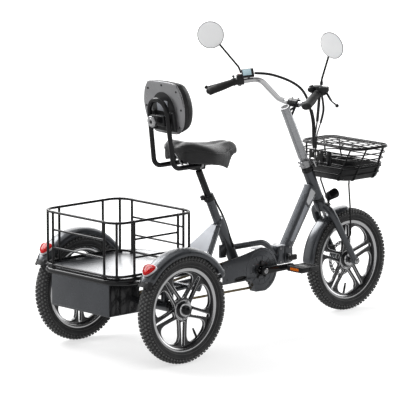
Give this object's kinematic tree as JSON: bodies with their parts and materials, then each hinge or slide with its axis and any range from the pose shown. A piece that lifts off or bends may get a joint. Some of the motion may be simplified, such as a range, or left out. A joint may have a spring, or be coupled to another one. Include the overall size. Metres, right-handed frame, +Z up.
{
  "type": "adult cargo tricycle",
  "caption": "Folding adult cargo tricycle with a rear deck and rail rack, front wire basket, saddle with backrest, high handlebar, mirrors and spoked alloy wheels.",
  "frame": {"origin": "on the ground, in the middle plane of the frame, midway between the rear end of the tricycle and the front of its front tyre", "axes": "+X forward, from the rear axle to the front wheel; +Y to the rider's left; +Z up, with the ground at z = 0"},
  "size_m": [1.6354, 0.7773, 1.1965],
  "materials": {
    "gunmetal_paint": "gloss dark grey-blue metallic paint",
    "black_paint": "semi-gloss black powder coat",
    "silver_deck": "glossy silver-grey coated sheet",
    "chrome": "polished",
    "alloy_wheel": "black paint with bright machined edges",
    "tyre_rubber": "matt black with a block tread",
    "grip_rubber": "matt black, ribbed",
    "black_plastic": "black moulded",
    "silver_plastic": "satin silver-grey",
    "black_leather": "fine-grained black vinyl over foam",
    "red_lens": "clear red",
    "brushed_steel": "satin",
    "chain_steel": "oiled, darkened"
  },
  "bodies": {
    "rear_frame": {"main_frame": "gunmetal_paint", "deck_plate": "silver_deck", "gusset_panel": "silver_deck", "cargo_rack": "black_paint", "battery_box": "gunmetal_paint", "axle_housing": "black_plastic", "chain_case": "gunmetal_paint", "chain": "chain_steel", "rear_fender_left": "gunmetal_paint", "rear_fender_right": "gunmetal_paint", "tail_light_left": "red_lens", "tail_light_right": "red_lens", "seat_collar": "brushed_steel"},
    "rear_wheel_left": {"rear_left_rim": "alloy_wheel", "rear_left_tyre": "tyre_rubber"},
    "rear_wheel_right": {"rear_right_rim": "alloy_wheel", "rear_right_tyre": "tyre_rubber"},
    "sprocket": {"rear_sprocket": "chain_steel"},
    "crank": {"crankset": "black_paint"},
    "pedal_left": {"pedal_left": "black_plastic"},
    "pedal_right": {"pedal_right": "black_plastic"},
    "seat": {"seat_post": "black_paint", "saddle_base": "black_paint", "saddle": "black_leather", "backrest_loop": "black_paint"},
    "backrest": {"backrest_shell": "silver_plastic", "backrest_pad": "black_leather", "backrest_bracket": "black_plastic"},
    "knob": {"backrest_knob": "brushed_steel"},
    "seat_clamp": {"seat_clamp_lever": "black_plastic"},
    "front_frame": {"front_frame": "gunmetal_paint"},
    "fold_latch": {"fold_latch_lever": "black_plastic"},
    "fork": {"fork": "gunmetal_paint", "front_fender": "gunmetal_paint", "basket_wall": "black_paint", "basket_tray": "black_plastic", "basket_bracket": "black_paint", "basket_stay": "black_paint", "brake_caliper": "black_plastic", "stem_collar": "brushed_steel", "front_axle": "brushed_steel"},
    "stem_clamp": {"stem_clamp_lever": "brushed_steel"},
    "front_wheel": {"front_rim": "alloy_wheel", "front_tyre": "tyre_rubber", "brake_rotor": "brushed_steel"},
    "headlamp": {"headlamp": "black_plastic"},
    "basket_lid": {"basket_lid": "black_paint"},
    "stem": {"stem_post": "gunmetal_paint", "handlebar": "chrome", "grip_left": "grip_rubber", "grip_right": "grip_rubber", "display": "black_plastic", "control_left": "black_plastic", "control_right": "black_plastic", "cable_bundle_left": "black_plastic", "cable_bundle_right": "black_plastic"},
    "brake_lever_left": {"brake_lever_left": "black_paint"},
    "brake_lever_right": {"brake_lever_right": "black_paint"},
    "mirror_left": {"mirror_left": "black_plastic"},
    "mirror_right": {"mirror_right": "black_plastic"}
  },
  "joints": [
    {"name": "rear_wheel_left_spin", "type": "hinge", "parent": "rear_frame", "child": "rear_wheel_left", "pos_m": [-0.5523, 0.297, 0.2075], "axis": [0, 1, 0], "continuous": true},
    {"name": "rear_wheel_right_spin", "type": "hinge", "parent": "rear_frame", "child": "rear_wheel_right", "pos_m": [-0.5523, -0.297, 0.2075], "axis": [0, 1, 0], "continuous": true},
    {"name": "front_wheel_spin", "type": "hinge", "parent": "fork", "child": "front_wheel", "pos_m": [0.6102, 0, 0.2075], "axis": [0, 1, 0], "continuous": true},
    {"name": "crank_spin", "type": "hinge", "parent": "rear_frame", "child": "crank", "pos_m": [0.0577, 0, 0.247], "axis": [0, 1, 0], "continuous": true},
    {"name": "rear_sprocket_spin", "type": "hinge", "parent": "rear_frame", "child": "sprocket", "pos_m": [-0.5523, -0.062, 0.2075], "axis": [0, 1, 0], "continuous": true},
    {"name": "pedal_right_spin", "type": "hinge", "parent": "crank", "child": "pedal_right", "pos_m": [0.2057, -0.17, 0.247], "axis": [0, 1, 0], "continuous": true},
    {"name": "pedal_left_spin", "type": "hinge", "parent": "crank", "child": "pedal_left", "pos_m": [-0.0903, 0.138, 0.247], "axis": [0, 1, 0], "continuous": true},
    {"name": "frame_fold", "type": "hinge", "parent": "rear_frame", "child": "front_frame", "pos_m": [0.2477, 0.034, 0.275], "axis": [0, 0, 1], "range_deg": [0, 120]},
    {"name": "steer", "type": "hinge", "parent": "front_frame", "child": "fork", "pos_m": [0.3907, 0, 0.6], "axis": [-0.4347, 0, 0.9006], "range_deg": [-40, 40]},
    {"name": "stem_slide", "type": "slide", "parent": "fork", "child": "stem", "axis": [-0.4347, 0, 0.9006], "range_m": [0, 0.06]},
    {"name": "brake_lever_left_pull", "type": "hinge", "parent": "stem", "child": "brake_lever_left", "pos_m": [0.2447, 0.249, 0.944], "axis": [0, 0, 1], "range_deg": [0, 7]},
    {"name": "brake_lever_right_pull", "type": "hinge", "parent": "stem", "child": "brake_lever_right", "pos_m": [0.2537, -0.247, 0.944], "axis": [0, 0, -1], "range_deg": [0, 25]},
    {"name": "mirror_left_turn", "type": "hinge", "parent": "stem", "child": "mirror_left", "pos_m": [0.2437, 0.228, 0.975], "axis": [0, 0, 1], "range_deg": [-30, 30]},
    {"name": "mirror_right_turn", "type": "hinge", "parent": "stem", "child": "mirror_right", "pos_m": [0.2437, -0.228, 0.975], "axis": [0, 0, 1], "range_deg": [-30, 30]},
    {"name": "seat_post_slide", "type": "slide", "parent": "rear_frame", "child": "seat", "axis": [-0.4283, 0, 0.9036], "range_m": [-0.02, 0.08]},
    {"name": "backrest_slide", "type": "slide", "parent": "seat", "child": "backrest", "axis": [-0.1334, 0, 0.9911], "range_m": [-0.05, 0.015]},
    {"name": "backrest_knob_turn", "type": "hinge", "parent": "backrest", "child": "knob", "pos_m": [-0.40986, 0, 0.87849], "axis": [0.9898, 0, 0.1426], "range_deg": [-180, 180]},
    {"name": "seat_clamp_open", "type": "hinge", "parent": "rear_frame", "child": "seat_clamp", "pos_m": [-0.17369, 0, 0.549], "axis": [0, 0, 1], "range_deg": [0, 100]},
    {"name": "stem_clamp_open", "type": "hinge", "parent": "fork", "child": "stem_clamp", "pos_m": [0.4014, -0.022, 0.6395], "axis": [0, -1, 0], "range_deg": [0, 100]},
    {"name": "fold_latch_open", "type": "hinge", "parent": "front_frame", "child": "fold_latch", "pos_m": [0.2597, -0.036, 0.262], "axis": [0, 0, -1], "range_deg": [0, 100]},
    {"name": "headlamp_tilt", "type": "hinge", "parent": "fork", "child": "headlamp", "pos_m": [0.5077, 0, 0.443], "axis": [0, 1, 0], "range_deg": [-20, 20]},
    {"name": "basket_lid_open", "type": "hinge", "parent": "fork", "child": "basket_lid", "pos_m": [0.5097, 0, 0.6846], "axis": [0, -1, 0], "range_deg": [0, 100]}
  ],
  "couplings": [
    {"joint": "rear_sprocket_spin", "follows": "crank_spin", "ratio": 2.4182}
  ]
}
